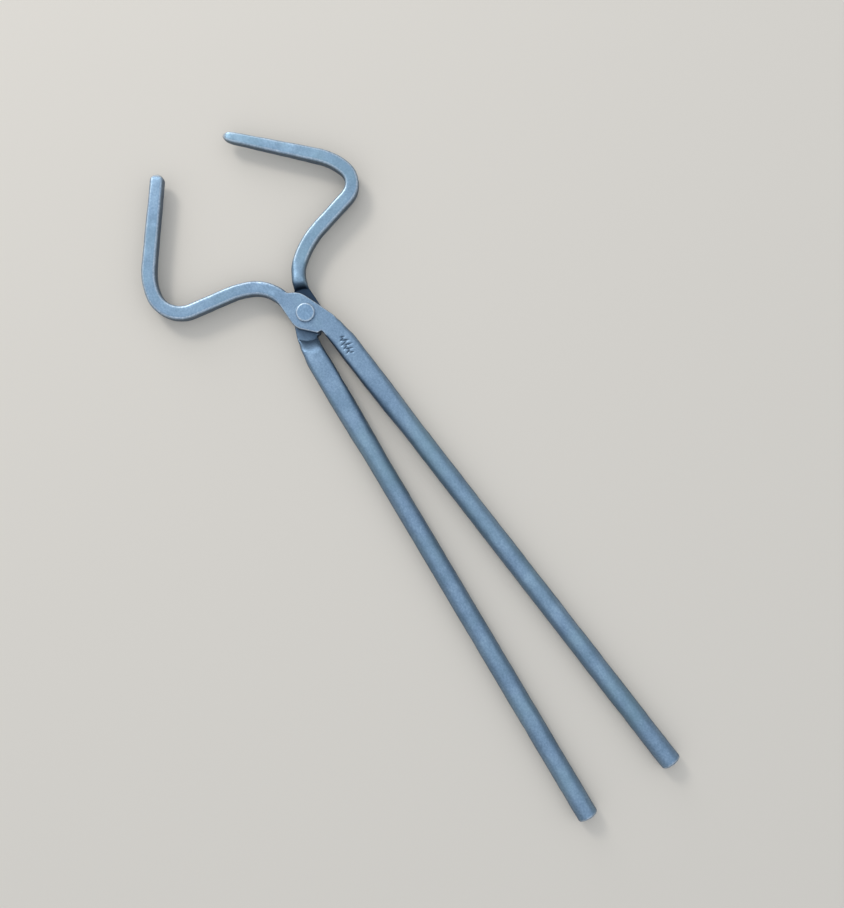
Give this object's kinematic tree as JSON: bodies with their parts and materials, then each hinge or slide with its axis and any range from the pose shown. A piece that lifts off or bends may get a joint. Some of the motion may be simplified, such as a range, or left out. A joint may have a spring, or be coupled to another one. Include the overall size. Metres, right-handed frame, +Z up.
{
  "type": "jar lifter",
  "caption": "Hand-forged steel tongs for lifting jars: two crossed halves on a rivet, each with a hooked square jaw, a flat boss and a long round rein.",
  "frame": {"origin": "on the pivot axis, at the flat underside of the lower rivet head", "axes": "+X along the tool towards the jaws, +Z up the pivot, +Y towards the upper half's jaw"},
  "size_m": [0.3671, 0.117, 0.0134],
  "materials": {
    "forged_steel": "forged carbon steel, wire-brushed blue-grey scale under a thin wax",
    "rivet_steel": "forged carbon steel, head dressed with a hammer, blue-grey scale"
  },
  "bodies": {
    "lower_body": {"lower_half": "forged_steel", "rivet": "rivet_steel"},
    "upper_body": {"upper_half": "forged_steel"}
  },
  "joints": [
    {"name": "pivot", "type": "hinge", "parent": "lower_body", "child": "upper_body", "pos_m": [0, 0, 0.00665], "axis": [0, 0, 1], "range_deg": [-7.5, 84]}
  ]
}
